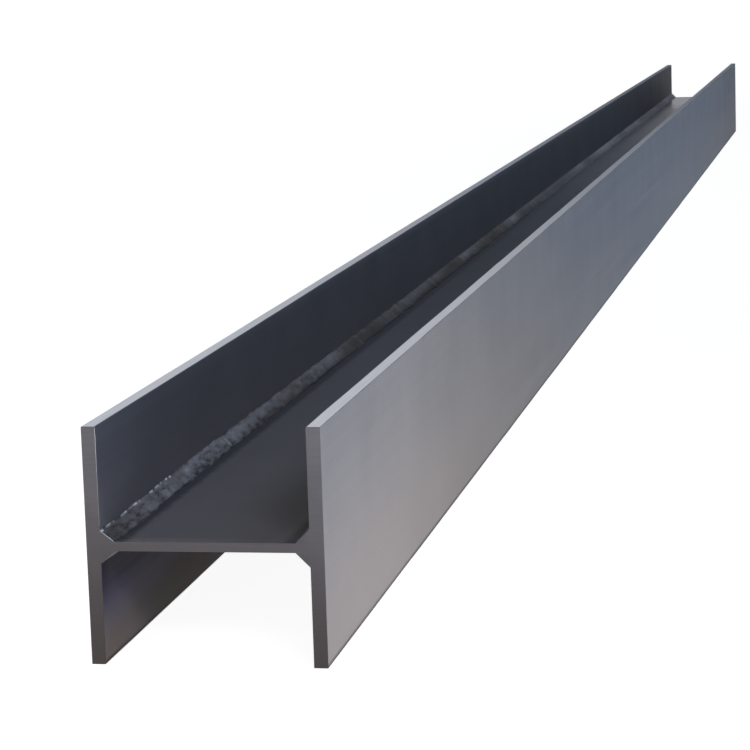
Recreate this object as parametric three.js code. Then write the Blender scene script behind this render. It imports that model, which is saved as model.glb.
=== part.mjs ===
// A welded steel H-beam, 6 m of stock. Two flange plates stand on their edges, a web plate
// lies level between them at mid height, and a fillet weld runs the whole length of each of
// the four inner corners. Millimetres, +Z up. X runs across the beam, from flange to flange,
// and Y along it. The origin is on the floor, under the middle of the beam.

import * as THREE from "three";

// ---- The beam and its plates ------------------------------------------------------------

const BEAM_LENGTH = 6000;
const BEAM_DEPTH = 200; // over the outer faces of the two flanges
const FLANGE_WIDTH = 200; // from the lower tip of a flange to its upper tip
const FLANGE_THICKNESS = 12;
const WEB_THICKNESS = 8;
const ARRIS_RADIUS = 1.5; // the long corners of a flange, eased by rolling
const ARRIS_SEGMENTS = 4;

// ---- The fillet welds -------------------------------------------------------------------

const LEG_ON_WEB = 12; // from the corner to the weld's toe, along the web
const LEG_ON_FLANGE = 12; // from the corner to the weld's toe, up or down the flange
const FACE_SHOULDER = 1.6; // how far the face stands square off the plate at each toe
const FACE_SEGMENTS = 6;

// A hand-laid weld is a row of runs, each one electrode long. A run starts with a lump over
// the hollow where the last one stopped, settles to its size, and ends in a hollow of its own.
const RUN_LENGTH = 270; // about what one electrode lays, stretched so that whole runs fit
const LUMP_RISE = 9; // from the start of a run to the top of its lump
const LUMP_FALL = 26; // from the top of the lump to where the run has settled
const LUMP_SWELL = 1.5; // how much the lump adds to each leg
const SEAT_CLEARANCE = 0.5; // from the widest lump to the flat that a fitting is seated on
const CRATER_LENGTH = 18; // the last stretch of a run, which sinks into its crater
const CRATER_SINK = 1.3; // how much the crater takes off each leg
const HAND_WANDER = 0.7; // how far an unsteady hand moves a toe between lump and crater
const STEADY_STATIONS = 5; // sections between the lump and the crater
const WANDER_TURN = 2.4; // radians between two sections, so that no two runs look alike

// ---- Finishes ---------------------------------------------------------------------------

const plateSteel = new THREE.MeshStandardMaterial({
  color: 0x6d6f78,
  metalness: 0.85,
  roughness: 0.45,
});
const weldSteel = new THREE.MeshStandardMaterial({
  color: 0x4b4c53,
  metalness: 0.8,
  roughness: 0.6,
});

// ---- Where the plates meet --------------------------------------------------------------

const webWidth = BEAM_DEPTH - 2 * FLANGE_THICKNESS;
const flangeInnerFace = webWidth / 2;
const flangeMiddle = flangeInnerFace + FLANGE_THICKNESS / 2;
const webMiddle = FLANGE_WIDTH / 2;

// A piece of stock is its section pushed along the beam. The section is drawn in X and Z
// about the point (x, z), and the piece runs from one sawn end of the beam to the other.
function stockPiece(name, geometry, material, x, z) {
  const piece = new THREE.Mesh(geometry, material);
  piece.name = name;
  piece.rotation.x = Math.PI / 2;
  piece.position.set(x, BEAM_LENGTH / 2, z);
  return piece;
}

// ---- Plates -----------------------------------------------------------------------------

// A rectangle about its own middle with each corner rounded to the radius.
function plateSection(width, height, radius) {
  const right = width / 2 - radius;
  const top = height / 2 - radius;
  const section = new THREE.Shape();
  section.absarc(right, top, radius, 0, Math.PI / 2);
  section.absarc(-right, top, radius, Math.PI / 2, Math.PI);
  section.absarc(-right, -top, radius, Math.PI, 1.5 * Math.PI);
  section.absarc(right, -top, radius, 1.5 * Math.PI, 2 * Math.PI);
  section.closePath();
  return section;
}

function flangePlate(name, side) {
  const radius = Math.min(ARRIS_RADIUS, FLANGE_THICKNESS / 3);
  const section = plateSection(FLANGE_THICKNESS, FLANGE_WIDTH, radius);
  const geometry = new THREE.ExtrudeGeometry(section, {
    depth: BEAM_LENGTH,
    curveSegments: ARRIS_SEGMENTS,
    bevelEnabled: false,
  });
  return stockPiece(name, geometry, plateSteel, side * flangeMiddle, webMiddle);
}

// The web's edges butt square against the flanges, so its corners stay sharp. On both of its
// sides the outline has a point where the widest weld can end, so that the flat between the
// weld toes, where a cleat or a stiffener is seated, is a face of its own.
function webPlate() {
  const edge = webWidth / 2;
  const seatEdge = edge - LEG_ON_WEB - LUMP_SWELL - SEAT_CLEARANCE;
  const face = WEB_THICKNESS / 2;
  const section = new THREE.Shape();
  section.moveTo(-edge, -face);
  section.lineTo(-seatEdge, -face);
  section.lineTo(seatEdge, -face);
  section.lineTo(edge, -face);
  section.lineTo(edge, face);
  section.lineTo(seatEdge, face);
  section.lineTo(-seatEdge, face);
  section.lineTo(-edge, face);
  section.closePath();
  const geometry = new THREE.ExtrudeGeometry(section, {
    depth: BEAM_LENGTH,
    bevelEnabled: false,
  });
  return stockPiece("web_plate", geometry, plateSteel, 0, webMiddle);
}

// ---- Fillet welds -----------------------------------------------------------------------

// The sections of a weld, one after another along the beam. Each says where it is and how
// much longer or shorter each leg is there than its nominal size. Both ends of the beam are
// sawn through sound weld, at its nominal size.
function weldStations(corner) {
  const runCount = Math.max(1, Math.round(BEAM_LENGTH / RUN_LENGTH));
  const run = BEAM_LENGTH / runCount;
  const steadyStart = LUMP_RISE + LUMP_FALL;
  const steadyLength = run - steadyStart - CRATER_LENGTH;
  const stations = [{ at: 0, onWeb: 0, onFlange: 0 }];
  for (let index = 0; index < runCount; index += 1) {
    const start = index * run;
    if (index > 0) {
      stations.push({ at: start, onWeb: -CRATER_SINK, onFlange: -CRATER_SINK });
      stations.push({ at: start + LUMP_RISE, onWeb: LUMP_SWELL, onFlange: LUMP_SWELL });
    }
    for (let step = 0; step <= STEADY_STATIONS; step += 1) {
      const turn = WANDER_TURN * (index * (STEADY_STATIONS + 1) + step) + corner;
      stations.push({
        at: start + steadyStart + (steadyLength * step) / STEADY_STATIONS,
        onWeb: HAND_WANDER * Math.sin(turn),
        onFlange: HAND_WANDER * Math.cos(turn * 1.3),
      });
    }
  }
  stations.push({ at: BEAM_LENGTH, onWeb: 0, onFlange: 0 });
  return stations;
}

// The weld's nominal section, with its root in the corner at (0, 0). Two straight backs lie on
// the web and on the flange. The face leaves each plate square and rolls over to the other.
function weldSection(across, up) {
  const section = new THREE.Shape();
  section.moveTo(0, 0);
  section.lineTo(across * LEG_ON_WEB, 0);
  section.bezierCurveTo(
    across * LEG_ON_WEB,
    up * FACE_SHOULDER,
    across * FACE_SHOULDER,
    up * LEG_ON_FLANGE,
    0,
    up * LEG_ON_FLANGE,
  );
  section.closePath();
  return section;
}

// The section is pushed out in unit steps, one for each station. Then every ring of points
// is moved to its station and stretched from the root, which leaves both backs flat.
function filletWeld(name, side, up, corner) {
  const stations = weldStations(corner);
  const lastRing = stations.length - 1;
  const geometry = new THREE.ExtrudeGeometry(weldSection(-side, up), {
    depth: lastRing,
    steps: lastRing,
    curveSegments: FACE_SEGMENTS,
    bevelEnabled: false,
  });
  const points = geometry.attributes.position;
  for (let index = 0; index < points.count; index += 1) {
    const station = stations[Math.round(points.getZ(index))];
    const stretchX = 1 + station.onWeb / LEG_ON_WEB;
    const stretchY = 1 + station.onFlange / LEG_ON_FLANGE;
    points.setXYZ(
      index,
      points.getX(index) * stretchX,
      points.getY(index) * stretchY,
      station.at,
    );
  }
  geometry.computeVertexNormals();
  const webFace = webMiddle + (up * WEB_THICKNESS) / 2;
  return stockPiece(name, geometry, weldSteel, side * flangeInnerFace, webFace);
}

// ---- The beam ---------------------------------------------------------------------------

const LEFT = -1;
const RIGHT = 1;
const BELOW = -1;
const ABOVE = 1;

const beam = new THREE.Group();
beam.add(webPlate());
beam.add(flangePlate("left_flange_plate", LEFT));
beam.add(flangePlate("right_flange_plate", RIGHT));
beam.add(filletWeld("upper_left_weld_bead", LEFT, ABOVE, 0));
beam.add(filletWeld("upper_right_weld_bead", RIGHT, ABOVE, 1));
beam.add(filletWeld("lower_left_weld_bead", LEFT, BELOW, 2));
beam.add(filletWeld("lower_right_weld_bead", RIGHT, BELOW, 3));

export default beam;
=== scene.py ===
# %% [markdown]
# # A welded steel H-beam
# Six metres of structural steel lie on a pale studio floor. Three hot-rolled plates make the
# section: an upright flange on each side and a level web between them. A hand-laid fillet weld
# runs along each of the four inner corners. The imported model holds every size. This script
# sets up the camera and the finishes of the steel, gives the plates their eased corners and
# sawn ends and the welds their ripples, and then makes the floor, the air and the lamps.

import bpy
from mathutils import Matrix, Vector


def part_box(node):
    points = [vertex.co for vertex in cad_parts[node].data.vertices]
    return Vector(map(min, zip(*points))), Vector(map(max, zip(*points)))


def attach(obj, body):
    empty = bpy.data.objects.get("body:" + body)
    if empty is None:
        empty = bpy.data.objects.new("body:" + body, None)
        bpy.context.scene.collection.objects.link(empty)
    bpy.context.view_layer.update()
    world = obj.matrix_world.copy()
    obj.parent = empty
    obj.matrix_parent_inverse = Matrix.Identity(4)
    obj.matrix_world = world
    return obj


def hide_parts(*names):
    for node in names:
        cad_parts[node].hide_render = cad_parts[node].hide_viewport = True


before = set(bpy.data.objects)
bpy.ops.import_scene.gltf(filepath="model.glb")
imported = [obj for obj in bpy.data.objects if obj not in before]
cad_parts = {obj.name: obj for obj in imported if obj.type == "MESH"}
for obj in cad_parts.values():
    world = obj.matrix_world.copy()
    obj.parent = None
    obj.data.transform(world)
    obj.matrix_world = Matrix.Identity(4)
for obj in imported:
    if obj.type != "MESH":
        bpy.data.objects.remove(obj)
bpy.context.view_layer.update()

# %% [markdown]
# ## Working units
# Blender measures in metres, and a steel fabricator thinks in millimetres. One named factor
# keeps the small sizes readable. The random draws that roughen edges and welds all come from
# seeded generators, so that every run makes the same beam.

# %% Imports and units
import math

import bmesh
import bpy
import numpy as np
from mathutils import Matrix, Vector

MM = 0.001
scene = bpy.context.scene

# %% [markdown]
# ## Sizes from the frame
# Each plate's place is read from its solid: the faces that the web and the flanges share, the
# tips of the flanges and the two sawn ends. Nothing here is measured a second time, so the
# detailed steel stays exactly where the solids are. Only the nominal leg of a weld is written
# down, as it would be on a drawing.

# %% Read the plates' faces
web_low, web_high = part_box("web_plate")
flange_low, flange_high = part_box("right_flange_plate")
NEAR_END = flange_low.y
FAR_END = flange_high.y
FLANGE_INNER = flange_low.x
FLANGE_OUTER = flange_high.x
FLANGE_TOP = flange_high.z
WEB_TOP = web_high.z
WEB_BOTTOM = web_low.z
WEB_MIDDLE = (WEB_TOP + WEB_BOTTOM) / 2
WELD_LEG = 12 * MM
print(f"a flange is {(FLANGE_OUTER - FLANGE_INNER) / MM:.1f} mm thick")
print(f"the web is {(WEB_TOP - WEB_BOTTOM) / MM:.1f} mm thick")
print(f"length {FAR_END - NEAR_END:.3f} m")

# %% [markdown]
# ## The camera
# The beam is seen from two metres off its near end, a little to the right and above, through
# a long lens. The long lens keeps the two flanges almost parallel in their height, while six
# metres of length still run away to a small far end. The heading, the pitch and a slight roll
# are turned into a rotation one after another, which is easier to follow than a matrix.

# %% Place the camera
CAMERA_PLACE = Vector((0.5502, NEAR_END - 2.0870, 0.5811))
HEADING = math.radians(10.952)
PITCH = math.radians(-9.057)
ROLL = math.radians(-1.841)
LENS_MM = 129.6
SENSOR_MM = 36.0
SEE_TO = 200.0  # metres, which is past the far corners of the floor

camera_data = bpy.data.cameras.new("studio_camera")
camera_data.lens = LENS_MM
camera_data.sensor_width = SENSOR_MM
camera_data.clip_end = SEE_TO
camera = bpy.data.objects.new("studio_camera", camera_data)
scene.collection.objects.link(camera)
looking_level = Matrix.Rotation(math.radians(90), 4, "X")
turned = Matrix.Rotation(HEADING, 4, "Z") @ Matrix.Rotation(PITCH, 4, "X") @ looking_level
camera.matrix_world = Matrix.Translation(CAMERA_PLACE) @ turned @ Matrix.Rotation(ROLL, 4, "Z")
scene.camera = camera
print("camera looks along", [round(v, 3) for v in -camera.matrix_world.col[2].xyz])

# %% [markdown]
# ## Helpers for finishes
# Colours are written as sRGB hex values, as a paint card gives them, and turned to the linear
# values that shaders need. A pattern's scale is written as the real size of one feature. One
# small function adds a node together with its settings and its links. The four settings that
# come back most often have short names: a smooth ramp, a product, and a mix of two colours or
# of two numbers. A Mix node's inputs are called by number, because several share a name: the
# factor is 0, two numbers are 2 and 3, and two colours are 6 and 7.

# %% Colour, scale and node helpers
SMOOTH = {"interpolation_type": "SMOOTHSTEP"}
TIMES = {"operation": "MULTIPLY"}
COLOURS = {"data_type": "RGBA"}
NUMBERS = {"data_type": "FLOAT"}


def linear(hex_colour):
    """An sRGB hex colour as a linear RGBA value."""
    channels = [int(hex_colour[i : i + 2], 16) / 255 for i in (1, 3, 5)]
    low = [c / 12.92 for c in channels]
    high = [((c + 0.055) / 1.055) ** 2.4 for c in channels]
    return [a if c <= 0.04045 else b for a, b, c in zip(low, high, channels)] + [1.0]


def features_of(size_mm):
    """The scale that makes one feature of a pattern the given size in millimetres."""
    return 1 / (size_mm * MM)


def add(tree, kind, settings=None, inputs=None):
    """A new node with its settings, and its inputs set to a value or linked to a socket."""
    node = tree.nodes.new("ShaderNode" + kind)
    for name, value in (settings or {}).items():
        setattr(node, name, value)
    for name, value in (inputs or {}).items():
        if isinstance(value, bpy.types.NodeSocket):
            tree.links.new(value, node.inputs[name])
        else:
            node.inputs[name].default_value = value
    return node


def new_material(name):
    """An empty material, its node tree, and its output node."""
    material = bpy.data.materials.new(name)
    material.use_nodes = True
    tree = material.node_tree
    tree.nodes.clear()
    return material, tree, add(tree, "OutputMaterial")


print("plain mid grey is", [round(v, 3) for v in linear("#808080")])

# %% [markdown]
# ## Hot-rolled steel plate
# A plate leaves the rolling mill with a tight skin of blue-grey iron oxide, called mill scale.
# The rolls draw it out into faint streaks along the plate, and cooling leaves it cloudy. The
# skin hides the metal under it, so the shader isn't metallic: to the eye the plate is a matt
# blue-grey with a weak, broad shine. A wide noise makes the clouds, a noise stretched along
# the beam makes the streaks, and a fine one makes the grain.

# %% Mill scale
SCALE_LIGHT = "#8a8b91"
SCALE_DARK = "#73757e"
CLOUD_MM = 140  # one cloud of the oxide
STREAK_WIDTH_MM = 7  # a roll streak is thin and long
STREAK_LENGTH_MM = 700
GRAIN_MM = 1.6  # the oxide's own grain, drawn coarser than it is so that it shows
NOISE_LOW = 0.3  # most values of a noise lie between these two
NOISE_HIGH = 0.7
STREAK_TONES = (0.93, 1.05)  # what a dark and a pale streak multiply the colour by
GRAIN_TONES = (0.95, 1.05)

mill_scale, tree, out = new_material("hot_rolled_mill_scale")
place = add(tree, "TexCoord").outputs["Object"]
clouds = add(tree, "TexNoise", inputs={
    "Vector": place, "Scale": features_of(CLOUD_MM), "Detail": 3.0, "Roughness": 0.5,
})
along_beam = add(tree, "Mapping", inputs={
    "Vector": place, "Scale": (1.0, STREAK_WIDTH_MM / STREAK_LENGTH_MM, 1.0),
})
streaks = add(tree, "TexNoise", inputs={
    "Vector": along_beam.outputs[0], "Scale": features_of(STREAK_WIDTH_MM), "Detail": 2.0,
})
grain = add(tree, "TexNoise", inputs={
    "Vector": place, "Scale": features_of(GRAIN_MM), "Detail": 2.0,
})
clouded = add(tree, "Mix", COLOURS, {
    0: clouds.outputs["Fac"], 6: linear(SCALE_DARK), 7: linear(SCALE_LIGHT),
})
streak_tone = add(tree, "MapRange", inputs={
    "Value": streaks.outputs["Fac"], "From Min": NOISE_LOW, "From Max": NOISE_HIGH,
    "To Min": STREAK_TONES[0], "To Max": STREAK_TONES[1],
})
grain_tone = add(tree, "MapRange", inputs={
    "Value": grain.outputs["Fac"], "From Min": NOISE_LOW, "From Max": NOISE_HIGH,
    "To Min": GRAIN_TONES[0], "To Max": GRAIN_TONES[1],
})
tone = add(tree, "Math", TIMES, {0: streak_tone.outputs[0], 1: grain_tone.outputs[0]})
rolled = add(tree, "VectorMath", {"operation": "SCALE"}, {
    0: clouded.outputs[2], "Scale": tone.outputs[0],
})
print("the bare mill scale has", len(tree.nodes), "nodes")

# %% [markdown]
# ### Where a point of the plate is
# One material serves all three plates, so it works out for itself whether a point is inside
# the channel, on the web, or under it. The distances to the planes of the flange face and of
# the web face are folded by an absolute value, so that one formula serves all four corners.

# %% Find the web, the inside and the underside
HALF_WEB = (WEB_TOP - WEB_BOTTOM) / 2
JUST_PAST = 1 * MM  # a face still counts as its plane this far from it

axes = add(tree, "SeparateXYZ", inputs={0: place})
from_middle = add(tree, "Math", {"operation": "ABSOLUTE"}, {0: axes.outputs["X"]})
to_flange = add(tree, "Math", {"operation": "SUBTRACT"}, {
    0: FLANGE_INNER, 1: from_middle.outputs[0],
})
height = add(tree, "Math", {"operation": "SUBTRACT"}, {0: axes.outputs["Z"], 1: WEB_MIDDLE})
off_middle = add(tree, "Math", {"operation": "ABSOLUTE"}, {0: height.outputs[0]})
to_web = add(tree, "Math", {"operation": "SUBTRACT"}, {0: off_middle.outputs[0], 1: HALF_WEB})
inside = add(tree, "Math", {"operation": "LESS_THAN"}, {
    0: from_middle.outputs[0], 1: FLANGE_INNER + JUST_PAST,
})
level_with_web = add(tree, "Math", {"operation": "LESS_THAN"}, {
    0: to_web.outputs[0], 1: JUST_PAST,
})
on_web = add(tree, "Math", TIMES, {0: level_with_web.outputs[0], 1: inside.outputs[0]})
under_web = add(tree, "Math", {"operation": "LESS_THAN"}, {0: height.outputs[0], 1: 0.0})
low_inside = add(tree, "Math", TIMES, {0: under_web.outputs[0], 1: inside.outputs[0]})
print(f"the web's faces are {HALF_WEB / MM:.1f} mm above and below its middle")

# %% [markdown]
# ### Painted bounce light, painted shade and slow changes of tone
# The foot of every upright face is painted paler, and more so inside the channel. This is painted
# bounce light from the floor, drawn as pale dust. The web is painted paler on the left than on the
# right, which is painted shade from the right flange. It is also paler toward the far end, which
# is a painted reflection of the pale wall, and it carries slow waves of tone along its length. All
# of that multiplies the colour of the scale.

# %% Painted bounce light, painted shade and the tone of the web
# painted bounce light from the floor, drawn as pale dust toward the foot
BOUNCE_DUST = "#a89e99"
BOUNCE_DUST_AT_FOOT = 0.5  # how much painted bounce light, drawn as pale dust, the lowest edge carries; none at the top
BOUNCE_DUST_INSIDE = 0.8  # how much more of it lies inside the channel
# painted shade from the right flange: the web darker toward the right
WEB_LIT_LEFT = 1.2
WEB_SHADED_RIGHT = 0.79
# painted reflection of the pale wall: the web paler toward the far end
WEB_REFLECTION_FAR = 1.3
REFLECTION_BEFORE_END = (4.0, 1.0)  # metres from the far end where it starts to pale, and stops
TONE_WAVE = 3.15  # one wave of tone along the web, in metres
WAVE_SWING = 0.14
PALE_AT = NEAR_END + 0.55  # where the first pale wave is

bounce_dust = add(tree, "MapRange", SMOOTH, {
    "Value": axes.outputs["Z"], "From Min": 0.0, "From Max": FLANGE_TOP,
    "To Min": BOUNCE_DUST_AT_FOOT, "To Max": 0.0,
})
bounce_dust_inside = add(tree, "Math", {"operation": "MULTIPLY_ADD"}, {
    0: inside.outputs[0], 1: BOUNCE_DUST_INSIDE, 2: 1.0,
})
bounce_dust_here = add(tree, "Math", {"operation": "MULTIPLY", "use_clamp": True}, {
    0: bounce_dust.outputs[0], 1: bounce_dust_inside.outputs[0],
})
bounce_dusted = add(tree, "Mix", COLOURS, {
    0: bounce_dust_here.outputs[0], 6: rolled.outputs[0], 7: linear(BOUNCE_DUST),
})
painted_flange_shade = add(tree, "MapRange", SMOOTH, {
    "Value": axes.outputs["X"], "From Min": -FLANGE_INNER, "From Max": FLANGE_INNER,
    "To Min": WEB_LIT_LEFT, "To Max": WEB_SHADED_RIGHT,
})
painted_far_reflection = add(tree, "MapRange", SMOOTH, {
    "Value": axes.outputs["Y"], "From Min": FAR_END - REFLECTION_BEFORE_END[0],
    "From Max": FAR_END - REFLECTION_BEFORE_END[1], "To Min": 1.0, "To Max": WEB_REFLECTION_FAR,
})
wave_turn = add(tree, "Math", {"operation": "MULTIPLY_ADD"}, {
    0: axes.outputs["Y"], 1: 2 * math.pi / TONE_WAVE,
    2: -2 * math.pi * PALE_AT / TONE_WAVE,
})
wave = add(tree, "Math", {"operation": "COSINE"}, {0: wave_turn.outputs[0]})
waved = add(tree, "Math", {"operation": "MULTIPLY_ADD"}, {
    0: wave.outputs[0], 1: WAVE_SWING, 2: 1.0,
})
along_tone = add(tree, "Math", TIMES, {0: painted_far_reflection.outputs[0], 1: waved.outputs[0]})
web_tone = add(tree, "Math", TIMES, {0: painted_flange_shade.outputs[0], 1: along_tone.outputs[0]})
tone_here = add(tree, "Mix", NUMBERS, {0: on_web.outputs[0], 2: 1.0, 3: web_tone.outputs[0]})
web_painted_and_toned = add(tree, "VectorMath", {"operation": "SCALE"}, {
    0: bounce_dusted.outputs[2], "Scale": tone_here.outputs[0],
})
print(f"the web carries {(FAR_END - NEAR_END) / TONE_WAVE:.1f} waves of tone")

# %% [markdown]
# ### The dark band beside a weld
# A darker band lies on the web beside each weld, in the crease at its toe. Its strength comes from
# the distance to the nearest inner corner, and a small noise shifts that distance so that the
# band's border is ragged. The band lies only on the web, and it fades along the beam.

# %% Darken the web beside the welds
# the web is darker next to each weld's toe
TOE_BAND_COLOUR = "#5c5c63"
BAND_FULL = 5 * MM  # past the weld's toe: fully darkened up to here
BAND_REACH = 14 * MM  # and no longer darkened from here on
BAND_MOST = 0.9
BAND_TOP = 4 * MM  # off the web's face, where the band has ended
BAND_FADES = (-0.6, 3.6)  # metres from the near end between which it fades
BAND_LEFT = 0.05  # the part of it that is left further on
RAGGED = 6 * MM  # half of which is what the noise shifts the border by on average
RAGGED_PATCH_MM = 10

corner = add(tree, "CombineXYZ", inputs={"X": to_flange.outputs[0], "Z": to_web.outputs[0]})
corner_distance = add(tree, "VectorMath", {"operation": "LENGTH"}, {0: corner.outputs[0]})
ragged = add(tree, "TexNoise", inputs={
    "Vector": place, "Scale": features_of(RAGGED_PATCH_MM), "Detail": 2.0,
})
ragged_distance = add(tree, "Math", {"operation": "MULTIPLY_ADD"}, {
    0: ragged.outputs["Fac"], 1: -RAGGED, 2: corner_distance.outputs["Value"],
})
toe_band = add(tree, "MapRange", SMOOTH, {
    "Value": ragged_distance.outputs[0], "From Min": WELD_LEG - RAGGED / 2 + BAND_FULL,
    "From Max": WELD_LEG - RAGGED / 2 + BAND_REACH, "To Min": BAND_MOST, "To Max": 0.0,
})
beside_web = add(tree, "MapRange", inputs={
    "Value": to_web.outputs[0], "From Min": JUST_PAST, "From Max": BAND_TOP,
    "To Min": 1.0, "To Max": 0.0,
})
toe_band_on_web = add(tree, "Math", TIMES, {0: toe_band.outputs[0], 1: beside_web.outputs[0]})
faded = add(tree, "MapRange", SMOOTH, {
    "Value": axes.outputs["Y"], "From Min": NEAR_END + BAND_FADES[0],
    "From Max": NEAR_END + BAND_FADES[1], "To Min": 1.0, "To Max": BAND_LEFT,
})
toe_band_here = add(tree, "Math", TIMES, {0: toe_band_on_web.outputs[0], 1: faded.outputs[0]})
toe_band_inside = add(tree, "Math", TIMES, {0: toe_band_here.outputs[0], 1: inside.outputs[0]})
toe_banded = add(tree, "Mix", COLOURS, {
    0: toe_band_inside.outputs[0], 6: web_painted_and_toned.outputs[0], 7: linear(TOE_BAND_COLOUR),
})
print(f"the heat band ends {BAND_REACH / MM:.0f} mm past a weld's toe")

# %% [markdown]
# ### Under the web
# The lower half of the channel carries one stain and three painted marks. Steel that has been
# warmed keeps a thin purple film, called temper colour. Just below the web the steel is painted
# nearly black, which is painted shade under the web. Low down, and most of all at the open mouth
# of the channel, a light brown tone is painted bounce light coming in at the mouth. A thin dark
# line at the very foot is painted contact shade.

# %% Temper colour, painted shade and painted bounce light
TEMPER = "#80769c"
# painted shade under the web, nearly black
UNDER_WEB_SHADE = "#27222c"
# painted bounce light at the channel's mouth, tinted light brown
MOUTH_LIGHT_BROWN = "#b59a88"
# painted contact shade along the very foot
FOOT_CONTACT_SHADE = "#453d3b"
TEMPER_RISE = (15 * MM, 60 * MM)  # above the floor: none below the first, all above the second
TEMPER_MOST = 0.5
UNDER_WEB_SHADE_RISE = (-75 * MM, -15 * MM)  # the same, from the middle of the web
UNDER_WEB_SHADE_MOST = 0.92
MOUTH_LIGHT_HEIGHT = 50 * MM
MOUTH_LIGHT_MOST = 0.8
MOUTH_DEPTH = 0.15  # metres in from the near end
MOUTH_LIGHT_PAST_MOUTH = 0.25  # the part of the painted mouth light that is left there
CONTACT_SHADE_FALL = (1 * MM, 5 * MM)  # all of it below the first, none above the second
CONTACT_SHADE_MOST = 0.9

temper = add(tree, "MapRange", SMOOTH, {
    "Value": axes.outputs["Z"], "From Min": TEMPER_RISE[0], "From Max": TEMPER_RISE[1],
    "To Min": 0.0, "To Max": TEMPER_MOST,
})
temper_here = add(tree, "Math", TIMES, {0: temper.outputs[0], 1: low_inside.outputs[0]})
tempered = add(tree, "Mix", COLOURS, {
    0: temper_here.outputs[0], 6: toe_banded.outputs[2], 7: linear(TEMPER),
})
under_web_shade = add(tree, "MapRange", SMOOTH, {
    "Value": height.outputs[0], "From Min": UNDER_WEB_SHADE_RISE[0], "From Max": UNDER_WEB_SHADE_RISE[1],
    "To Min": 0.0, "To Max": UNDER_WEB_SHADE_MOST,
})
under_web_shade_here = add(tree, "Math", TIMES, {0: under_web_shade.outputs[0], 1: low_inside.outputs[0]})
under_web_shaded = add(tree, "Mix", COLOURS, {
    0: under_web_shade_here.outputs[0], 6: tempered.outputs[2], 7: linear(UNDER_WEB_SHADE),
})
mouth_light_low = add(tree, "MapRange", SMOOTH, {
    "Value": axes.outputs["Z"], "From Min": 0.0, "From Max": MOUTH_LIGHT_HEIGHT,
    "To Min": MOUTH_LIGHT_MOST, "To Max": 0.0,
})
mouth_light_depth = add(tree, "MapRange", SMOOTH, {
    "Value": axes.outputs["Y"], "From Min": NEAR_END, "From Max": NEAR_END + MOUTH_DEPTH,
    "To Min": 1.0, "To Max": MOUTH_LIGHT_PAST_MOUTH,
})
mouth_light = add(tree, "Math", TIMES, {0: mouth_light_low.outputs[0], 1: mouth_light_depth.outputs[0]})
mouth_light_inside = add(tree, "Math", TIMES, {0: mouth_light.outputs[0], 1: inside.outputs[0]})
mouth_lit = add(tree, "Mix", COLOURS, {
    0: mouth_light_inside.outputs[0], 6: under_web_shaded.outputs[2], 7: linear(MOUTH_LIGHT_BROWN),
})
contact_shade = add(tree, "MapRange", SMOOTH, {
    "Value": axes.outputs["Z"], "From Min": CONTACT_SHADE_FALL[0], "From Max": CONTACT_SHADE_FALL[1],
    "To Min": CONTACT_SHADE_MOST, "To Max": 0.0,
})
contact_shaded = add(tree, "Mix", COLOURS, {
    0: contact_shade.outputs[0], 6: mouth_lit.outputs[2], 7: linear(FOOT_CONTACT_SHADE),
})
print("with its stains it has", len(tree.nodes), "nodes")

# %% [markdown]
# ### Sheen of the scale
# Mill scale is matt, and its streaks vary that a little. Toward the far end the web is
# smoother, because other stock was slid along it, and smoothest of all on the last half
# metre. Seen along the beam, such a smooth face mirrors the pale studio wall and so looks
# bright, while from above it keeps its dark colour. A bump from the grain breaks the shine.

# %% Finish the mill scale
SHEEN = (0.62, 0.74)  # the roughness of the scale, from one streak to the next
SHEEN_SPREAD = (0.25, 0.75)  # the streaks' values that this spans
SHEEN_SLID = 0.40  # the roughness where stock was slid along the web
SHEEN_LIP = 0.18  # and on its last half metre
SLID_BEFORE_END = (3.2, 0.5)  # metres from the far end between which the sliding shows more
LIP_BEFORE_END = (0.8, 0.15)  # and between which it turns into the smoothest part
SCALE_SPECULAR = 0.15
GRAIN_BUMP = 0.25
GRAIN_DEPTH = 0.08 * MM

sheen = add(tree, "MapRange", inputs={
    "Value": streaks.outputs["Fac"], "From Min": SHEEN_SPREAD[0], "From Max": SHEEN_SPREAD[1],
    "To Min": SHEEN[0], "To Max": SHEEN[1],
})
slid = add(tree, "MapRange", SMOOTH, {
    "Value": axes.outputs["Y"], "From Min": FAR_END - SLID_BEFORE_END[0],
    "From Max": FAR_END - SLID_BEFORE_END[1], "To Min": 0.0, "To Max": 1.0,
})
slid_web = add(tree, "Math", TIMES, {0: slid.outputs[0], 1: on_web.outputs[0]})
slid_sheen = add(tree, "MapRange", SMOOTH, {
    "Value": axes.outputs["Y"], "From Min": FAR_END - LIP_BEFORE_END[0],
    "From Max": FAR_END - LIP_BEFORE_END[1], "To Min": SHEEN_SLID, "To Max": SHEEN_LIP,
})
sheen_here = add(tree, "Mix", NUMBERS, {
    0: slid_web.outputs[0], 2: sheen.outputs[0], 3: slid_sheen.outputs[0],
})
relief = add(tree, "Bump", inputs={
    "Strength": GRAIN_BUMP, "Distance": GRAIN_DEPTH, "Height": grain.outputs["Fac"],
})
plate_shader = add(tree, "BsdfPrincipled", inputs={
    "Base Color": contact_shaded.outputs[2], "Roughness": sheen_here.outputs[0], "Metallic": 0.0,
    "Specular IOR Level": SCALE_SPECULAR, "Normal": relief.outputs[0],
})
tree.links.new(plate_shader.outputs[0], out.inputs["Surface"])
print("the finished mill scale has", len(tree.nodes), "nodes")

# %% [markdown]
# ## Bare steel on the edges
# The long edges of a plate are sheared or rolled and then handled, chained and dragged, so their
# scale is worn away and bright steel shows. It is true metal: nearly all metallic, with the pale
# grey of iron, and drawn out along the beam by what rubbed it. Its near-white colour at the near
# end is partly a painted highlight. Along the beam the colour darkens toward the oxide's: partly
# oxide still on, partly painted light falling off away from the near end. The same factor takes
# the edge off the shine at low angles. The far half of the left flange's edge is painted almost
# black, a painted shade.

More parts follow.
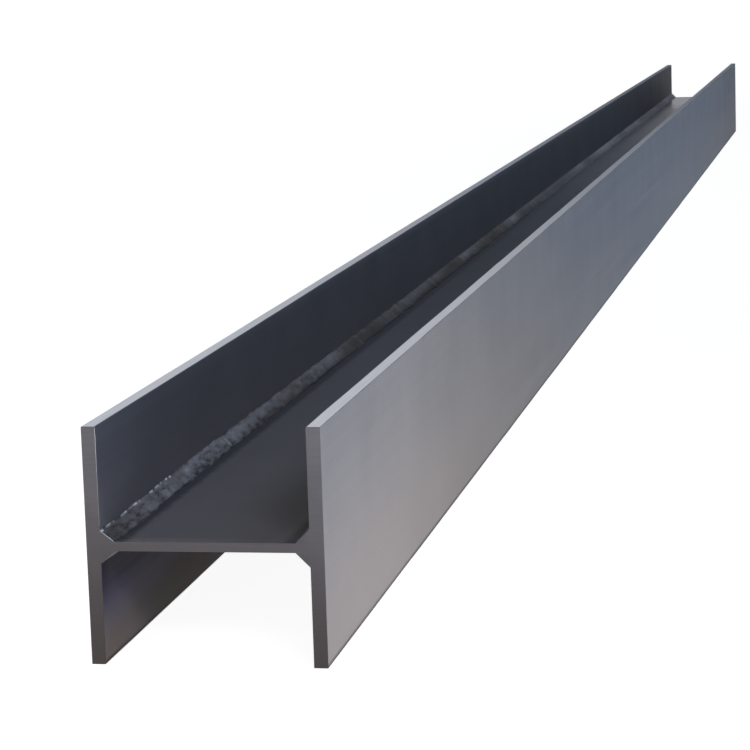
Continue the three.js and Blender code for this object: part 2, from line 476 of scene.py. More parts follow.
# %% Worn edge steel
# the near-white is partly a painted highlight; the ramps below paint light falling off along the
# beam
EDGE_BRIGHT = "#e6e8ee"
EDGE_DULL = "#d0d2da"
EDGE_PART_WORN_AND_DIM = "#888a98"
EDGE_UNWORN_AND_DIM = "#4e505c"
EDGE_PAINTED_SHADE = "#25272e"  # painted shade on the far part of the left flange's edge
OXIDE_TINT = "#b0b8cc"  # what the oxide leaves of the shine at low angles
RUB_WIDTH_MM = 1.5
RUB_LENGTH_MM = 60
LESS_WORN_LESS_LIT = (-0.4, 2.4)  # metres from the near end between which the wear and the painted light lessen
OXIDE_AND_FALLOFF = (0.5, 5.0)  # between which more of the oxide is still on and the painted light falls off
LEFT_EDGE_SHADE = (2.2, 4.2)  # and between which the left flange's edge goes over to painted shade
OXIDE_MOST = 0.9  # the part that both of these take in the end
EDGE_METALLIC = 0.9
EDGE_SHEEN = (0.36, 0.28)  # its roughness, from one rub mark to the next
RUB_BUMP = 0.3
RUB_DEPTH = 0.05 * MM

worn_edge, tree, out = new_material("worn_bare_edge_steel")
place = add(tree, "TexCoord").outputs["Object"]
rubbed = add(tree, "Mapping", inputs={
    "Vector": place, "Scale": (1.0, RUB_WIDTH_MM / RUB_LENGTH_MM, 1.0),
})
rubs = add(tree, "TexNoise", inputs={
    "Vector": rubbed.outputs[0], "Scale": features_of(RUB_WIDTH_MM), "Detail": 3.0,
})
worn_tone = add(tree, "Mix", COLOURS, {
    0: rubs.outputs["Fac"], 6: linear(EDGE_DULL), 7: linear(EDGE_BRIGHT),
})
edge_axes = add(tree, "SeparateXYZ", inputs={0: place})
along = edge_axes.outputs["Y"]
less_worn_less_lit = add(tree, "MapRange", SMOOTH, {
    "Value": along, "From Min": NEAR_END + LESS_WORN_LESS_LIT[0], "From Max": NEAR_END + LESS_WORN_LESS_LIT[1],
    "To Min": 0.0, "To Max": 1.0,
})
part_worn_dim_tone = add(tree, "Mix", COLOURS, {
    0: less_worn_less_lit.outputs[0], 6: worn_tone.outputs[2], 7: linear(EDGE_PART_WORN_AND_DIM),
})
oxide_and_falloff = add(tree, "MapRange", SMOOTH, {
    "Value": along, "From Min": NEAR_END + OXIDE_AND_FALLOFF[0], "From Max": NEAR_END + OXIDE_AND_FALLOFF[1],
    "To Min": 0.0, "To Max": OXIDE_MOST,
})
unworn_dim_tone = add(tree, "Mix", COLOURS, {
    0: oxide_and_falloff.outputs[0], 6: part_worn_dim_tone.outputs[2], 7: linear(EDGE_UNWORN_AND_DIM),
})
left_edge_shade_ramp = add(tree, "MapRange", SMOOTH, {
    "Value": along, "From Min": NEAR_END + LEFT_EDGE_SHADE[0], "From Max": NEAR_END + LEFT_EDGE_SHADE[1],
    "To Min": 0.0, "To Max": OXIDE_MOST,
})
on_left = add(tree, "Math", {"operation": "LESS_THAN"}, {0: edge_axes.outputs["X"], 1: 0.0})
left_edge_shade = add(tree, "Math", TIMES, {0: left_edge_shade_ramp.outputs[0], 1: on_left.outputs[0]})
edge_tone = add(tree, "Mix", COLOURS, {
    0: left_edge_shade.outputs[0], 6: unworn_dim_tone.outputs[2], 7: linear(EDGE_PAINTED_SHADE),
})
low_angle_tone = add(tree, "Mix", COLOURS, {
    0: oxide_and_falloff.outputs[0], 6: linear("#ffffff"), 7: linear(OXIDE_TINT),
})
edge_sheen = add(tree, "MapRange", inputs={
    "Value": rubs.outputs["Fac"], "To Min": EDGE_SHEEN[0], "To Max": EDGE_SHEEN[1],
})
edge_relief = add(tree, "Bump", inputs={
    "Strength": RUB_BUMP, "Distance": RUB_DEPTH, "Height": rubs.outputs["Fac"],
})
edge_shader = add(tree, "BsdfPrincipled", inputs={
    "Base Color": edge_tone.outputs[2], "Roughness": edge_sheen.outputs[0],
    "Metallic": EDGE_METALLIC, "Specular Tint": low_angle_tone.outputs[2],
    "Normal": edge_relief.outputs[0],
})
tree.links.new(edge_shader.outputs[0], out.inputs["Surface"])
print("the worn edge steel has", len(tree.nodes), "nodes")

# %% [markdown]
# ## Sawn steel on the ends
# A band saw cuts the beam to length. Its teeth leave fine level scratches across the whole
# section, plates and welds alike, and the cut dulls within days to a soft grey. Toward the ground
# the cut is painted darker and browner, which is painted shade under light from above. The
# scratches are a noise stretched across the beam, with one scratch drawn about three times its
# real width. A dulled cut shines far less than a fresh one, so the shader is only a little
# metallic.

# %% Sawn end steel
SAWN_LIGHT = "#8e8d91"
SAWN_DARK = "#6a676d"
SAWN_SHADED_LOW = "#514947"  # painted shade low down, brownish
SCRATCH_MM = 0.9
SCRATCH_LENGTH_MM = 45
DULLED_PATCH_MM = 35
PATCHES_SHOW = 0.6  # how much of the tone comes from dull patches, and not from scratches
CUT_SHADE_AT_FOOT = 0.9
SAWN_ROUGHNESS = 0.6
SAWN_METALLIC = 0.2
SAWN_SPECULAR = 0.3
SCRATCH_BUMP = 0.3
SCRATCH_DEPTH = 0.05 * MM

sawn_end, tree, out = new_material("band_sawn_steel")
place = add(tree, "TexCoord").outputs["Object"]
drawn_across = add(tree, "Mapping", inputs={
    "Vector": place, "Scale": (SCRATCH_MM / SCRATCH_LENGTH_MM, 1.0, 1.0),
})
scratches = add(tree, "TexNoise", inputs={
    "Vector": drawn_across.outputs[0], "Scale": features_of(SCRATCH_MM), "Detail": 2.0,
})
dulling = add(tree, "TexNoise", inputs={
    "Vector": place, "Scale": features_of(DULLED_PATCH_MM), "Detail": 2.0,
})
mark_tone = add(tree, "Mix", NUMBERS, {
    0: PATCHES_SHOW, 2: scratches.outputs["Fac"], 3: dulling.outputs["Fac"],
})
sawn_tone = add(tree, "Mix", COLOURS, {
    0: mark_tone.outputs[0], 6: linear(SAWN_DARK), 7: linear(SAWN_LIGHT),
})
cut_low_shade = add(tree, "MapRange", SMOOTH, {
    "Value": add(tree, "SeparateXYZ", inputs={0: place}).outputs["Z"],
    "From Min": 0.0, "From Max": FLANGE_TOP, "To Min": CUT_SHADE_AT_FOOT, "To Max": 0.0,
})
cut_shaded_tone = add(tree, "Mix", COLOURS, {
    0: cut_low_shade.outputs[0], 6: sawn_tone.outputs[2], 7: linear(SAWN_SHADED_LOW),
})
sawn_relief = add(tree, "Bump", inputs={
    "Strength": SCRATCH_BUMP, "Distance": SCRATCH_DEPTH, "Height": scratches.outputs["Fac"],
})
sawn_shader = add(tree, "BsdfPrincipled", inputs={
    "Base Color": cut_shaded_tone.outputs[2], "Roughness": SAWN_ROUGHNESS,
    "Metallic": SAWN_METALLIC, "Specular IOR Level": SAWN_SPECULAR,
    "Normal": sawn_relief.outputs[0],
})
tree.links.new(sawn_shader.outputs[0], out.inputs["Surface"])
print("the sawn steel has", len(tree.nodes), "nodes")

# %% [markdown]
# ## Weld metal
# A stick weld cools under slag and is chipped and brushed clean. Its hollows keep a dark glassy
# residue and its crests turn grey. The mesh of each weld carries a value called crest: 0 under
# slag, 1 where the metal is chipped clean, and more where it is bright, partly brushed metal and
# partly painted highlight. The same value paints the bead lighter on its upper side and darker
# toward the web, which is painted light and shade. The material reads it, so that colour and shape
# agree. Patches of residue and small pits shift that value, strongly at the near end and much less
# further on.

# %% Cleaned and uncleaned weld metal
SLAG_DARK = "#242224"
BEAD_GREY = "#888b96"
SLAG_PATCH_MM = 5  # residue comes off in flakes, longer along the weld than across it
SLAG_STRETCH = 0.3
PIT_MM = 3
NOISE_MIDDLE = 0.5
PATCHY = (1.75, 0.3)  # how much the patches shift it at the near end, and further on
PATCHY_REACH = 0.75  # metres from the near end
PITTED = (0.7, 0.1)
PITTED_REACH = 0.45
CHIPPED_CLEAN = 0.75  # from here up no slag is left

weld_metal, tree, out = new_material("chipped_stick_weld")
place = add(tree, "TexCoord").outputs["Object"]
crest = add(tree, "Attribute", {"attribute_name": "crest"}).outputs["Fac"]
along = add(tree, "SeparateXYZ", inputs={0: place}).outputs["Y"]
drawn_out = add(tree, "Mapping", inputs={"Vector": place, "Scale": (1.0, SLAG_STRETCH, 1.0)})
patches = add(tree, "TexNoise", inputs={
    "Vector": drawn_out.outputs[0], "Scale": features_of(SLAG_PATCH_MM),
    "Detail": 5.0, "Roughness": 0.62,
})
patch_swing = add(tree, "Math", {"operation": "SUBTRACT"}, {
    0: patches.outputs["Fac"], 1: NOISE_MIDDLE,
})
patchy = add(tree, "MapRange", SMOOTH, {
    "Value": along, "From Min": NEAR_END, "From Max": NEAR_END + PATCHY_REACH,
    "To Min": PATCHY[0], "To Max": PATCHY[1],
})
patch_lift = add(tree, "Math", {"operation": "MULTIPLY_ADD"}, {
    0: patch_swing.outputs[0], 1: patchy.outputs[0], 2: crest,
})
pits = add(tree, "TexNoise", inputs={
    "Vector": drawn_out.outputs[0], "Scale": features_of(PIT_MM),
    "Detail": 3.0, "Roughness": 0.6,
})
pit_swing = add(tree, "Math", {"operation": "SUBTRACT"}, {
    0: pits.outputs["Fac"], 1: NOISE_MIDDLE,
})
pitted = add(tree, "MapRange", SMOOTH, {
    "Value": along, "From Min": NEAR_END, "From Max": NEAR_END + PITTED_REACH,
    "To Min": PITTED[0], "To Max": PITTED[1],
})
cleanness_and_light = add(tree, "Math", {"operation": "MULTIPLY_ADD"}, {
    0: pit_swing.outputs[0], 1: pitted.outputs[0], 2: patch_lift.outputs[0],
})
cleaned_and_lit = add(tree, "MapRange", SMOOTH, {
    "Value": cleanness_and_light.outputs[0], "From Min": 0.0, "From Max": CHIPPED_CLEAN,
})
bead_tone = add(tree, "Mix", COLOURS, {
    0: cleaned_and_lit.outputs[0], 6: linear(SLAG_DARK), 7: linear(BEAD_GREY),
})
print(f"a flake of slag is {SLAG_PATCH_MM} by {SLAG_PATCH_MM / SLAG_STRETCH:.0f} mm")

# %% [markdown]
# ### Rust, slag dust, bare metal and painted glints
# Light rust blooms in wide patches and follows the saw cut in from the near end. Further along
# nobody brushed the weld, and grey slag dust still lies on it. Where the crest is highest, the
# colour turns pale, partly brushed bare metal and partly painted highlight, and the shader turns
# metallic by the same factor. The roughness drops all the way from slag to bare metal.

# %% Finish the weld metal
RUST_BLOOM = "#564a45"
RUST_PATCH_MM = 70
BLOOMING = (0.5, 0.7)  # the noise's values between which rust starts and is full
BLOOM_MOST = 0.45
CUT_RUST_MOST = 0.7
CUT_RUST_REACH = 0.12  # metres from the near end
SLAG_POWDER = "#7e8294"
POWDERED = (2.0, 4.4)  # metres from the near end between which the slag dust thickens
POWDER_MOST = 0.7
BEAD_BARE_AND_GLINT = "#d6d7db"
BARE_AND_GLINT = (0.86, 1.25)  # the crest from which bare metal and painted glints show, and at which they are full
BARED = (0.35, 0.95)  # how metallic the bead is where it isn't brushed, and where it is
BEAD_SHEEN = (0.68, 0.38)  # its roughness under slag, and at the cleanness below
SHEEN_CLEAN = 1.2
PIT_BUMP = 0.6
PIT_DEPTH = 0.5 * MM

blooms = add(tree, "TexNoise", inputs={
    "Vector": place, "Scale": features_of(RUST_PATCH_MM), "Detail": 3.0,
})
bloom = add(tree, "MapRange", SMOOTH, {
    "Value": blooms.outputs["Fac"], "From Min": BLOOMING[0], "From Max": BLOOMING[1],
    "To Min": 0.0, "To Max": BLOOM_MOST,
})
cut_rust = add(tree, "MapRange", SMOOTH, {
    "Value": along, "From Min": NEAR_END, "From Max": NEAR_END + CUT_RUST_REACH,
    "To Min": CUT_RUST_MOST, "To Max": 0.0,
})
rust = add(tree, "Math", {"operation": "MAXIMUM"}, {0: bloom.outputs[0], 1: cut_rust.outputs[0]})
rusted_tone = add(tree, "Mix", COLOURS, {
    0: rust.outputs[0], 6: bead_tone.outputs[2], 7: linear(RUST_BLOOM),
})
powdered = add(tree, "MapRange", SMOOTH, {
    "Value": along, "From Min": NEAR_END + POWDERED[0], "From Max": NEAR_END + POWDERED[1],
    "To Min": 0.0, "To Max": POWDER_MOST,
})
powdered_tone = add(tree, "Mix", COLOURS, {
    0: powdered.outputs[0], 6: rusted_tone.outputs[2], 7: linear(SLAG_POWDER),
})
brushed_and_glint = add(tree, "MapRange", SMOOTH, {
    "Value": cleanness_and_light.outputs[0], "From Min": BARE_AND_GLINT[0], "From Max": BARE_AND_GLINT[1],
})
bare_and_glint_tone = add(tree, "Mix", COLOURS, {
    0: brushed_and_glint.outputs[0], 6: powdered_tone.outputs[2], 7: linear(BEAD_BARE_AND_GLINT),
})
bead_sheen = add(tree, "MapRange", inputs={
    "Value": cleanness_and_light.outputs[0], "From Min": 0.0, "From Max": SHEEN_CLEAN,
    "To Min": BEAD_SHEEN[0], "To Max": BEAD_SHEEN[1],
})
bared = add(tree, "MapRange", inputs={
    "Value": brushed_and_glint.outputs[0], "To Min": BARED[0], "To Max": BARED[1],
})
bead_relief = add(tree, "Bump", inputs={
    "Strength": PIT_BUMP, "Distance": PIT_DEPTH, "Height": pits.outputs["Fac"],
})
bead_shader = add(tree, "BsdfPrincipled", inputs={
    "Base Color": bare_and_glint_tone.outputs[2], "Roughness": bead_sheen.outputs[0],
    "Metallic": bared.outputs[0], "Normal": bead_relief.outputs[0],
})
tree.links.new(bead_shader.outputs[0], out.inputs["Surface"])
print("materials:", [m.name for m in (mill_scale, worn_edge, sawn_end, weld_metal)])

# %% [markdown]
# ## Skinning rings into a solid
# A plate and a weld are both long bars: one closed ring of points, repeated along the beam.
# One helper joins such rings into a mesh and closes the two ends. The rings arrive as one
# array, so a weld of several thousand rings is still made in a moment. Every bar has the
# same three kinds of side, rolled or laid, worn, and sawn, each with its material slot.

# %% Join rings into a mesh
ON_FACE = 0
ON_EDGE = 1
ON_END = 2
SHARP_ANGLE = math.radians(35)  # a steeper fold than this stays a crisp edge


def bar_faces(ring_count, point_count):
    """The four-cornered faces between neighbouring rings, then the two ends."""
    ring = np.arange(ring_count - 1)[:, None]
    point = np.arange(point_count)[None, :]
    here = ring * point_count + point
    beside = ring * point_count + (point + 1) % point_count
    sides = np.stack([here, beside, beside + point_count, here + point_count], axis=-1)
    first_end = list(range(point_count))[::-1]
    last_end = list(range((ring_count - 1) * point_count, ring_count * point_count))
    return sides.reshape(-1, 4).tolist() + [first_end, last_end]


def bar_mesh(name, rings, side_slots, filed_slots):
    """A closed bar from rings[ring, point] = (x, y, z), with a material slot for each side."""
    ring_count, point_count, _ = rings.shape
    slots = np.repeat(np.asarray(side_slots)[None, :], ring_count - 1, axis=0)
    slots[0] = slots[-1] = filed_slots
    mesh = bpy.data.meshes.new(name)
    mesh.from_pydata(rings.reshape(-1, 3).tolist(), [], bar_faces(ring_count, point_count))
    mesh.polygons.foreach_set("material_index", slots.ravel().tolist() + [ON_END, ON_END])
    shape = bmesh.new()
    shape.from_mesh(mesh)
    bmesh.ops.recalc_face_normals(shape, faces=shape.faces)
    shape.to_mesh(mesh)
    shape.free()
    mesh.shade_smooth()
    mesh.set_sharp_from_angle(angle=SHARP_ANGLE)
    return mesh


def place_piece(name, mesh, face_material, node):
    """Link the mesh as a piece that stands for a solid and rides with the beam."""
    for material in (face_material, worn_edge, sawn_end):
        mesh.materials.append(material)
    piece = bpy.data.objects.new(name, mesh)
    scene.collection.objects.link(piece)
    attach(piece, "root")
    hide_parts(node)
    print(name, "has", len(mesh.polygons), "faces")


print("a bar of 3 rings with 4 points has", len(bar_faces(3, 4)), "faces")

# %% [markdown]
# ## Gentle unevenness
# Nothing on rolled and handled steel is perfectly even. A row of seeded random values, one
# every so many millimetres, is joined by a smooth curve, which gives slow wandering along the
# beam without any sharp kink. A grid of such values does the same over a surface.

# %% Smooth noise along the beam
def eased(part):
    """From 0 to 1 with a soft start and a soft stop."""
    part = np.clip(part, 0, 1)
    return part * part * (3 - 2 * part)


def uneven(generator, along, across, patch_along, patch_across):
    """Smooth noise between -1 and 1, with one random knot for each patch of the surface."""
    rows = (along - along.min()) / patch_along
    columns = across / patch_across
    knots = generator.uniform(-1, 1, (int(rows.max()) + 2, int(columns.max()) + 2))
    row = np.floor(rows).astype(int)
    column = np.floor(columns).astype(int)
    u = eased(rows - row)
    v = eased(columns - column)
    near = knots[row, column] * (1 - v) + knots[row, column + 1] * v
    far = knots[row + 1, column] * (1 - v) + knots[row + 1, column + 1] * v
    return near * (1 - u) + far * u


def wander(generator, places, spacing):
    """Smooth noise between -1 and 1 along one line, with one knot every spacing."""
    return uneven(generator, places, np.zeros_like(places), spacing, 1.0)


sample = wander(np.random.default_rng(1), np.linspace(0, 1, 500), 50 * MM)
print(f"a metre of it runs from {sample.min():.2f} to {sample.max():.2f}")

# %% [markdown]
# ## The flange plates
# A flange is a 200 by 12 mm plate on edge. Its four long corners are eased by the rolls and
# by wear, more in one place than in another, and that uneven radius is what makes a bright
# line along an edge look real. Each ring of points is a rectangle with four arcs. A point
# just past each end of an arc holds the wide faces flat, so that smooth shading can't bend
# them. The sawn ends have a fine chamfer where the burr was filed off, except where the web
# and the welds are joined to the plate, because there the cut runs through solid steel.

# %% One ring of a flange
ARRIS = 0.6 * MM  # the mean radius of a long corner
ARRIS_STEPS = 5
HOLD = 1.0 * MM  # how far past an arc its held point is
CHAMFER_FADE = 1.5 * MM  # how far past a weld's toe the filed chamfer is whole again
CORNER_POINTS = ARRIS_STEPS + 3  # an arc's points, and a held one on each side of it
JOINT_POINTS = 6  # on the inner face, where the chamfer stops and the welds and the web join it
FLANGE_POINTS = 4 * CORNER_POINTS + JOINT_POINTS


def flange_corner(x, z, x_in, z_in, radius, hold_first):
    """Points round one corner at (x, z), from one held flat to the other."""
    turn = np.linspace(0, math.pi / 2, ARRIS_STEPS + 1)
    along_x = x + x_in * radius * (1 - np.sin(turn))
    along_z = z + z_in * radius * (1 - np.cos(turn))
    on_tip = (x + x_in * (radius + HOLD), z)
    on_face = (x, z + z_in * (radius + HOLD))
    points = [on_tip, *zip(along_x, along_z), on_face]
    return points if hold_first == "tip" else points[::-1]


def flange_ring(radii, inset):
    """The right flange's outline as (x, z) points, shrunk by the inset where it is open."""
    outer = FLANGE_OUTER - inset
    inner = FLANGE_INNER + inset
    top = FLANGE_TOP - inset
    upper_toe = WEB_TOP + WELD_LEG
    lower_toe = WEB_BOTTOM - WELD_LEG
    points = flange_corner(outer, inset, -1, 1, radii[0], "tip")
    points += flange_corner(outer, top, -1, -1, radii[1], "face")
    points += flange_corner(inner, top, 1, -1, radii[2], "tip")
    points.append((inner, upper_toe + CHAMFER_FADE))
    points += [(FLANGE_INNER, z) for z in (upper_toe, WEB_TOP, WEB_BOTTOM, lower_toe)]
    points.append((inner, lower_toe - CHAMFER_FADE))
    points += flange_corner(inner, inset, 1, 1, radii[3], "face")
    return np.array(points)


print("a flange's ring has", len(flange_ring([ARRIS] * 4, 0.0)), "points")

# %% [markdown]
# ### Pushing the ring along the beam
# Rings stand 20 mm apart, close enough for a radius that wanders over 90 mm, and one more at each
# end draws the chamfer. Only the flat of the upper tip gets the bright edge steel: it is worn
# bare, and is partly a painted highlight. On the left flange the filed edge above the web gets it
# as well, as a painted highlight line along the cut. Side number k of a ring runs from its point k
# to the next one, so the arcs' last points say where those two stretches begin.

# %% Flange plates
ARRIS_WANDER = 0.3 * MM
ARRIS_SPACING = 90 * MM
RING_SPACING = 20 * MM
END_CHAMFER = 0.2 * MM
TIP_SIDES = 3  # the flat of a tip, from arc to arc
INNER_SIDES = 2  # the inner face above the web, from the arc to where the chamfer fades
LEFT = -1
RIGHT = 1


def ring_places(count):
    """Where a bar's rings are: both ends, and evenly between just inside both chamfers."""
    between = np.linspace(NEAR_END + END_CHAMFER, FAR_END - END_CHAMFER, count)
    return np.concatenate([[NEAR_END], between, [FAR_END]])


def flange_mesh(name, side, seed, edge_above_web):
    """A flange plate whose four long corners wander in their radius."""
    generator = np.random.default_rng(seed)
    radii = [ARRIS + ARRIS_WANDER * wander(generator, plate_y, ARRIS_SPACING) for _ in range(4)]
    rings = np.zeros((len(plate_y), FLANGE_POINTS, 3))
    for index, y in enumerate(plate_y):
        inset = END_CHAMFER if y in (NEAR_END, FAR_END) else 0.0
        outline = flange_ring([radius[index] for radius in radii], inset)
        rings[index, :, 0] = side * outline[:, 0]
        rings[index, :, 1] = y
        rings[index, :, 2] = outline[:, 1]
    second_arc_end = 2 * CORNER_POINTS - 2
    third_arc_end = 3 * CORNER_POINTS - 2
    slots = [ON_FACE] * FLANGE_POINTS
    slots[second_arc_end : second_arc_end + TIP_SIDES] = [ON_EDGE] * TIP_SIDES
    filed = [ON_END] * FLANGE_POINTS
    filed[third_arc_end : third_arc_end + INNER_SIDES] = [edge_above_web] * INNER_SIDES
    return bar_mesh(name, rings, slots, filed)


plate_y = ring_places(round((FAR_END - NEAR_END) / RING_SPACING) + 1)
# the left flange's filed edge above the web carries a painted highlight line
left_mesh = flange_mesh("left_flange", LEFT, seed=11, edge_above_web=ON_EDGE)
right_mesh = flange_mesh("right_flange", RIGHT, seed=12, edge_above_web=ON_END)
place_piece("left_flange", left_mesh, mill_scale, "left_flange_plate")
place_piece("right_flange", right_mesh, mill_scale, "right_flange_plate")

# %% [markdown]
# ## The web plate
# The web is a flat 8 mm plate whose edges are hidden in the joints. Only its two faces and its two
# sawn ends show, so it needs few points. At the ends the filed chamfer fades out before the weld
# toes, in step with the flanges. Its upper chamfer gets the bright edge steel.

# %% Web plate
WEB_ROW = 6  # points on its upper face, and as many on its lower one


def web_ring(inset):
    """The web's outline as (x, z) points, thinned by the inset between the weld toes."""
    toe = FLANGE_INNER - WELD_LEG
    open_to = toe - CHAMFER_FADE
    across = [-FLANGE_INNER, -toe, -open_to, open_to, toe, FLANGE_INNER]
    thinned = [0, 0, inset, inset, 0, 0]
    lower = [(x, WEB_BOTTOM + t) for x, t in zip(across, thinned)]
    upper = [(x, WEB_TOP - t) for x, t in zip(across, thinned)]
    return np.array(lower + upper[::-1])


web_rings = np.zeros((len(plate_y), 2 * WEB_ROW, 3))
for index, y in enumerate(plate_y):
    inset = END_CHAMFER if y in (NEAR_END, FAR_END) else 0.0
    web_rings[index, :, [0, 2]] = web_ring(inset).T
    web_rings[index, :, 1] = y
web_filed = [ON_END] * WEB_ROW + [ON_EDGE] * (WEB_ROW - 1) + [ON_END]
web_mesh = bar_mesh("web", web_rings, [ON_FACE] * (2 * WEB_ROW), web_filed)
place_piece("web", web_mesh, mill_scale, "web_plate")

# %% [markdown]
# ## The weld beads
# A stick weld is laid in one pass by a hand that moves a short step, pauses and moves again.
# Each pause leaves a ripple shaped like a fingernail, each larger hesitation leaves a lobe
# that laps over the last one, and each fresh electrode starts with a lump over the crater of
# the one before. The solid holds the lumps and craters, so the two legs are read from its
# rings. The lobes, ripples and smaller lumps are added here as real shape, because they
# catch the light and break the weld's outline, which a bump in the material can't do.

# %% Read a weld's legs from its solid
ABOVE = 1
BELOW = -1
DIGITS = 5  # of a place in metres, so to a hundredth of a millimetre
SAME_SECTION = 0.1 * MM


def weld_root(side, up):
    """X and Z of the corner that a weld fills."""
    return side * FLANGE_INNER, WEB_TOP if up == ABOVE else WEB_BOTTOM


def weld_stations(node, side, up):
    """The places of the solid's sections along the beam, and both legs of the weld there."""
    points = np.array([v.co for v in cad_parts[node].data.vertices])
    root_x, root_z = weld_root(side, up)
    off_flange = np.abs(points[:, 0] - root_x)
    off_web = np.abs(points[:, 2] - root_z)
    stations = np.unique(np.round(points[:, 1], DIGITS))
    sections = [np.abs(points[:, 1] - y) < SAME_SECTION for y in stations]
    on_web = [off_flange[section].max() for section in sections]
    on_flange = [off_web[section].max() for section in sections]
    return stations, np.array(on_web), np.array(on_flange)


stations, on_web_legs, _ = weld_stations("upper_left_weld_bead", LEFT, ABOVE)
shortest, longest = on_web_legs.min() / MM, on_web_legs.max() / MM
print(f"{len(stations)} sections, legs from {shortest:.1f} to {longest:.1f} mm")

# %% [markdown]
# ### Rings of a weld
# A weld has a ring every 1.6 mm, so that three of them draw each ripple, and 14 points from
# its toe on the web to its toe on the flange. All four welds share these places. The last
# stretch before a sawn end is calm, because the cut shows a plain fillet. The first half
# metre was laid with an unsteady hand, which had settled by the time it was a metre in.

# %% Places of the rings and the steadiness of the hand
RING_STEP = 1.6 * MM
FACE_STEPS = 13
WELD_POINTS = FACE_STEPS + 2  # the points of the face, and the root
END_CALM = 22 * MM
STEADY_FROM = 0.4  # metres from the near end where the hand begins to settle
STEADY_OVER = 0.7  # and the metres that this takes
STEADIED = 0.8  # how much of the unsteadiness goes

weld_y = ring_places(round((FAR_END - NEAR_END) / RING_STEP))
from_near = weld_y - NEAR_END
across = np.linspace(0, 1, FACE_STEPS + 1)
y_grid, across_grid = np.meshgrid(weld_y, across, indexing="ij")
calm = np.clip(np.minimum(from_near, FAR_END - weld_y) / END_CALM, 0, 1)
unsteady = 1 - STEADIED * eased((from_near - STEADY_FROM) / STEADY_OVER)
print(len(weld_y), "rings with", WELD_POINTS, "points each")

# %% [markdown]
# ### The hand's motion
# Lobes rise fast and fall away slowly, as molten metal laps over the last heap. Ripples are
# a fine wave whose phase wanders. Lumps and smaller knobs are uneven in both directions.
# Where the hand is steady the lumps give way to a slow drift. A ripple's line strays a
# little along the weld, as a smeared edge does.

# %% Lobes, ripples and lumps
LOBE = 42 * MM
LOBE_SPANS = (0.5, 1.7)  # the shortest and the longest lobe, as parts of that
LOBE_RISE = 0.4  # the part of a lobe over which it rises
LOBE_FALL_CURVE = 1.4  # above 1, so that it stays high a little longer before it falls
LOBE_COUNT = 900  # far more than the length of a weld needs
LOBES_BEFORE = 2  # the row starts this many lobes before the near end
RIPPLE = 5.0 * MM
RIPPLE_DRIFT = 0.4  # how far the phase of the ripples wanders, in ripples
RIPPLE_DRIFT_SPACING = 30 * MM
LUMP_PATCH = (30 * MM, 0.3)  # along the weld, and as a part of the way across its face
KNOB_PATCH = (11 * MM, 0.12)
DRIFT_PATCH = (130 * MM, 0.6)
STRAY_PATCH = (20 * MM, 0.35)


def lobes(generator):
    """A row of lapping lobes, each with its own height, from 0 to 1."""
    spans = generator.uniform(*LOBE_SPANS, LOBE_COUNT)
    starts = NEAR_END + np.cumsum(spans) * LOBE - LOBES_BEFORE * LOBE
    heights = generator.uniform(0.0, 1.0, LOBE_COUNT + 1)
    index = np.clip(np.searchsorted(starts, weld_y) - 1, 0, LOBE_COUNT - 2)
    part = np.clip((weld_y - starts[index]) / (starts[index + 1] - starts[index]), 0, 1)
    rise = eased(part / LOBE_RISE)
    fall = 1 - np.clip((part - LOBE_RISE) / (1 - LOBE_RISE), 0, 1) ** LOBE_FALL_CURVE
    return heights[index] * np.minimum(rise, fall)


def hand_motion(generator):
    """What one hand left along a weld: its lobes, ripples, lumps, knobs, drift and stray."""
    loose = unsteady[:, None]
    lobe = lobes(generator) * unsteady
    phase = weld_y / RIPPLE + RIPPLE_DRIFT * wander(generator, weld_y, RIPPLE_DRIFT_SPACING)
    return {
        "lobe": lobe[:, None],
        "ripple": (0.5 + 0.5 * np.sin(2 * np.pi * phase))[:, None],
        "lump": loose * uneven(generator, y_grid, across_grid, *LUMP_PATCH),
        "knob": loose * uneven(generator, y_grid, across_grid, *KNOB_PATCH),
        "drift": (1 - loose) * uneven(generator, y_grid, across_grid, *DRIFT_PATCH),
        "stray": uneven(generator, y_grid, across_grid, *STRAY_PATCH),
    }


print("a weld's mean lobe is", round(float(lobes(np.random.default_rng(1)).mean()), 2), "high")

# %% [markdown]
# ### The two legs
# The legs of the solid's sections are joined along the beam. A sharp stop or start is then
# averaged over a short stretch, because molten metal flows. A small wander moves both toes.
# Both left welds start thin on the flange and broad on the web, as if the electrode was held
# too close to the web, and take a third of a metre to grow to their full legs. On the cut
# itself the leg on the web is the plain one.

# %% Legs along a weld
MELT = 14 * MM  # how far the melt evens out a stop or a start
LOBE_HEIGHT = 0.6 * MM
LOBE_ON_LEG = 0.4  # the part of a lobe's height that also lengthens the legs
TOE_WANDER = 0.35 * MM
TOE_WANDER_ON_WEB = 24 * MM
TOE_WANDER_ON_FLANGE = 20 * MM
THIN_REACH = 0.35  # metres from the near end
MOVED_TO_WEB = 0.85  # how much of what the flange lacks lies on the web instead
BROAD_TO = 0.05  # metres from the near end over which the weld is broadest on the web
BROAD_FADE = 0.2


def softened(legs):
    """Legs averaged over a short stretch, so that no stop is left as a sharp step."""
    width = 2 * round(MELT / RING_STEP) + 1
    padded = np.pad(legs, width // 2, mode="edge")
    window = np.hanning(width + 2)
    return np.convolve(padded, window[1:-1] / window.sum(), "valid")


